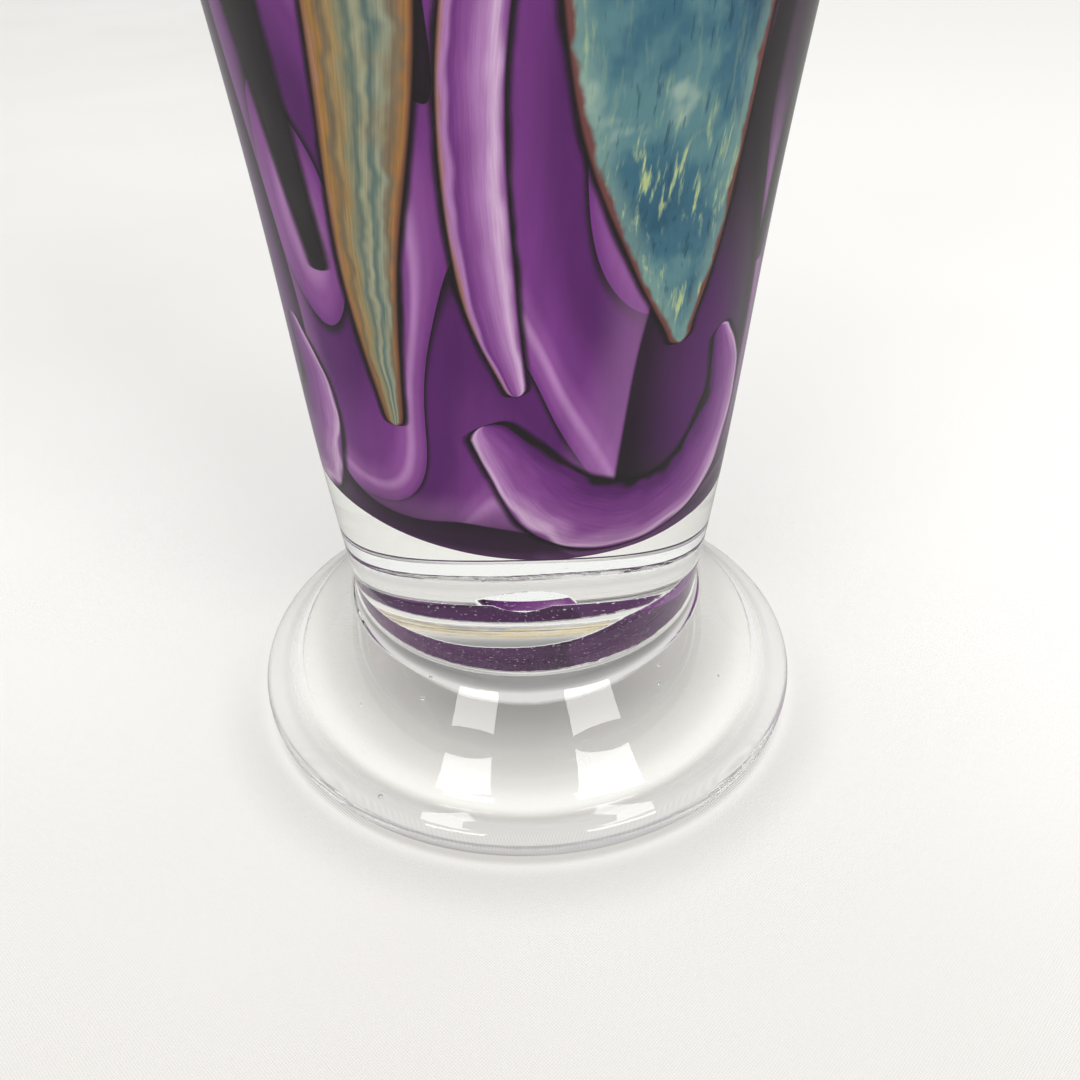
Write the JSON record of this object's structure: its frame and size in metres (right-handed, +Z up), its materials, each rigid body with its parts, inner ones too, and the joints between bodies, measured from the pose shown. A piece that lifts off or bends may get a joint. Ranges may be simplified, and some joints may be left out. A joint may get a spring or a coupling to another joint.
{
  "type": "footed glass vase",
  "caption": "Tall flared glass vase: swirled colour cased in thick clear glass over a solid clear block, on a domed clear foot.",
  "frame": {"origin": "centre of the foot's contact ring, on the surface that the vase stands on", "axes": "+Z up along the axis of the vase, -Y towards the front, +X to the right seen from the front"},
  "size_m": [0.154, 0.154, 0.3],
  "materials": {
    "clear_glass": "thick colourless glass, fire polished, with a few seed bubbles",
    "lining_glass": "colourless glass inside the vase, fire polished",
    "aubergine_glass": "dark opaque glass under the colours",
    "purple_glass": "opaque purple glass with soft folds and dark seams",
    "violet_glass": "opaque violet glass, lighter at its folds",
    "lavender_glass": "opaque pale lavender cane with darker edges",
    "teal_glass": "opaque teal glass with yellow-green flecks and a rust edge",
    "amber_glass": "opaque amber, olive and teal stripes drawn out along the piece",
    "black_glass": "opaque black glass"
  },
  "bodies": {
    "root": {"clear_casing": "clear_glass", "foot": "clear_glass", "inner_gather": "lining_glass", "dark_ground": "aubergine_glass", "purple_field": "purple_glass", "teal_panel_front": "teal_glass", "teal_panel_rear": "teal_glass", "teal_panel_left": "teal_glass", "amber_feather_front": "amber_glass", "amber_feather_right": "amber_glass", "amber_feather_rear": "amber_glass", "lavender_cane_front": "lavender_glass", "lavender_cane_right": "lavender_glass", "lavender_cane_rear": "lavender_glass", "violet_scroll_front": "violet_glass", "violet_scroll_rear": "violet_glass", "violet_scroll_left": "violet_glass", "black_streak_front": "black_glass", "black_streak_right": "black_glass", "black_streak_rear": "black_glass"}
  },
  "joints": []
}
